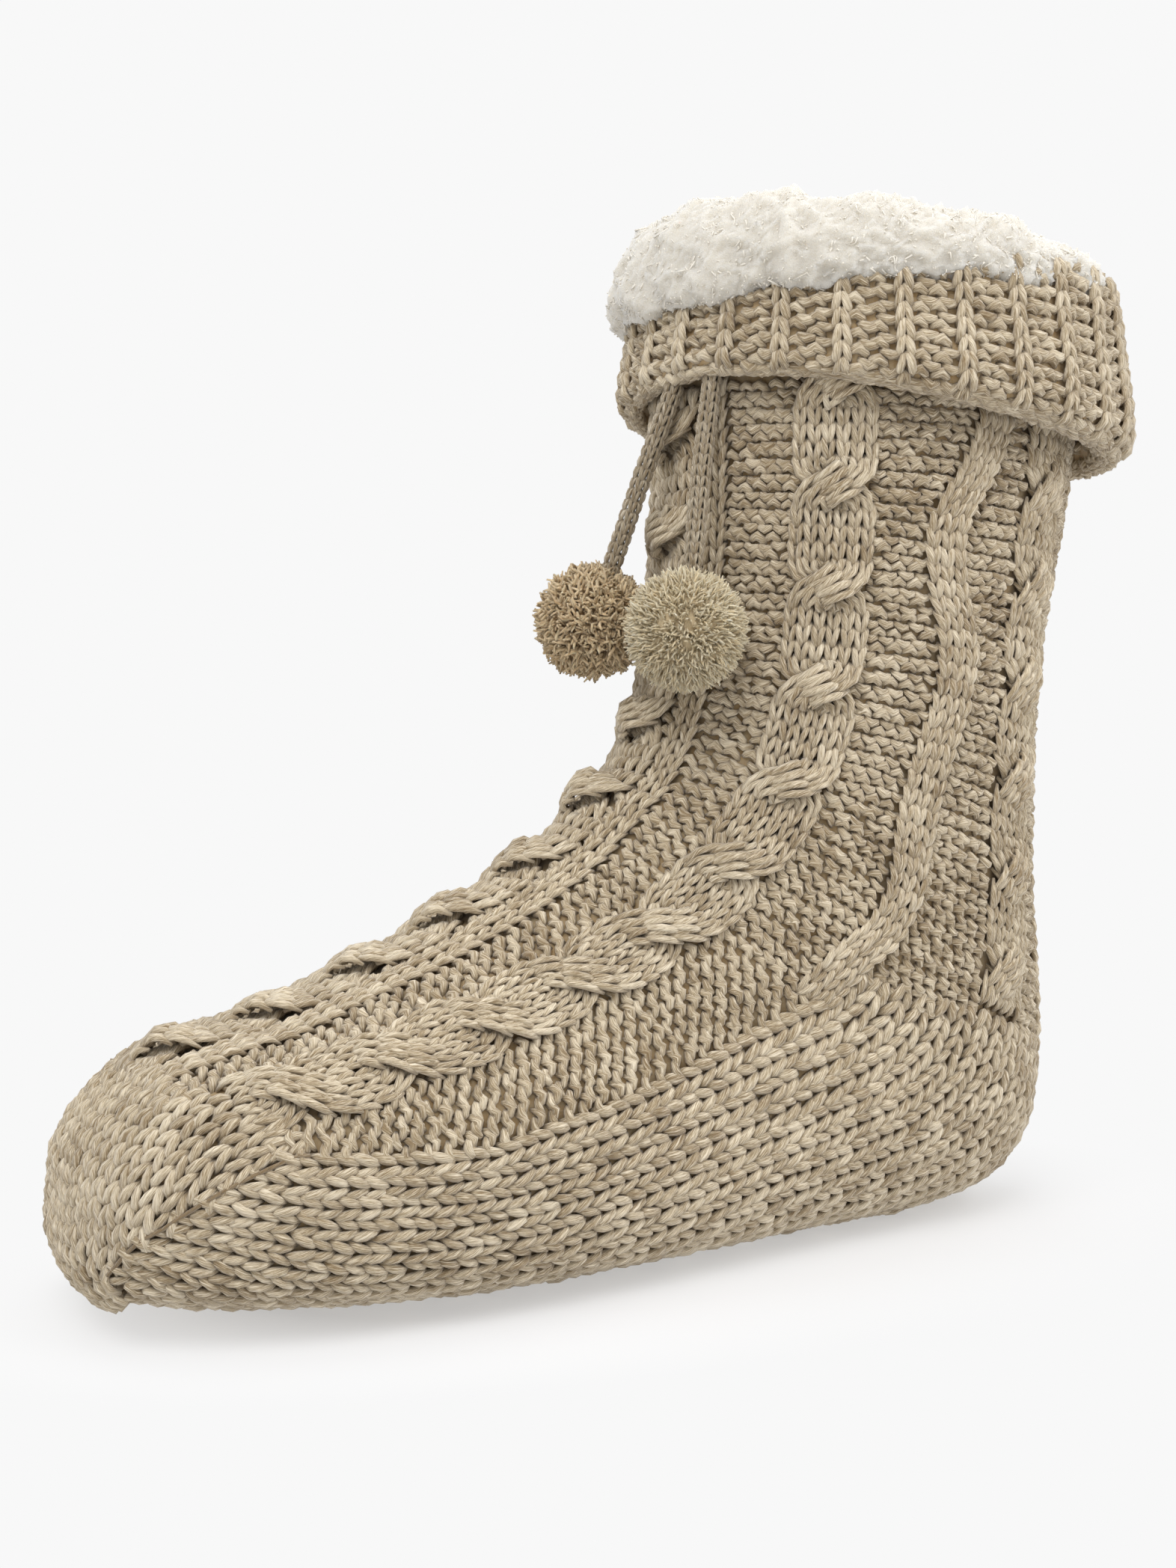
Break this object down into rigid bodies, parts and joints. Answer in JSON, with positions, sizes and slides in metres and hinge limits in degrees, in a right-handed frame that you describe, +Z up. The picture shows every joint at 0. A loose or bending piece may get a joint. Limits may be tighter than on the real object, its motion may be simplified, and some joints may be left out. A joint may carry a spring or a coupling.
{
  "type": "slipper sock",
  "caption": "Ankle-high cable-knit slipper sock with a rolled ribbed cuff, a fleece collar and pompoms on cords, standing open on its sole.",
  "frame": {"origin": "on the floor under the middle of the sock's box, cords and pompoms apart", "axes": "+Z up from the floor, -X toward the toe, -Y toward the side that the picture shows"},
  "size_m": [0.2892, 0.1238, 0.2633],
  "materials": {
    "knit_yarn": "thick heathered beige yarn, cable knit, soft and matte",
    "cuff_yarn": "the same yarn in a rib of one raised stitch and two purled ones",
    "fleece": "cream fleece pile in short curled tufts",
    "cord_yarn": "round knitted cord of darker beige yarn",
    "pompom_brown": "short curled cut yarn ends, brownish beige",
    "pompom_beige": "brushed cut yarn ends, light beige"
  },
  "bodies": {
    "root": {"knit_sock": "knit_yarn", "ribbed_cuff": "cuff_yarn", "sherpa_collar": "fleece", "cord_left": "cord_yarn", "cord_right": "cord_yarn", "pompom_left": "pompom_brown", "pompom_right": "pompom_beige"}
  },
  "joints": []
}
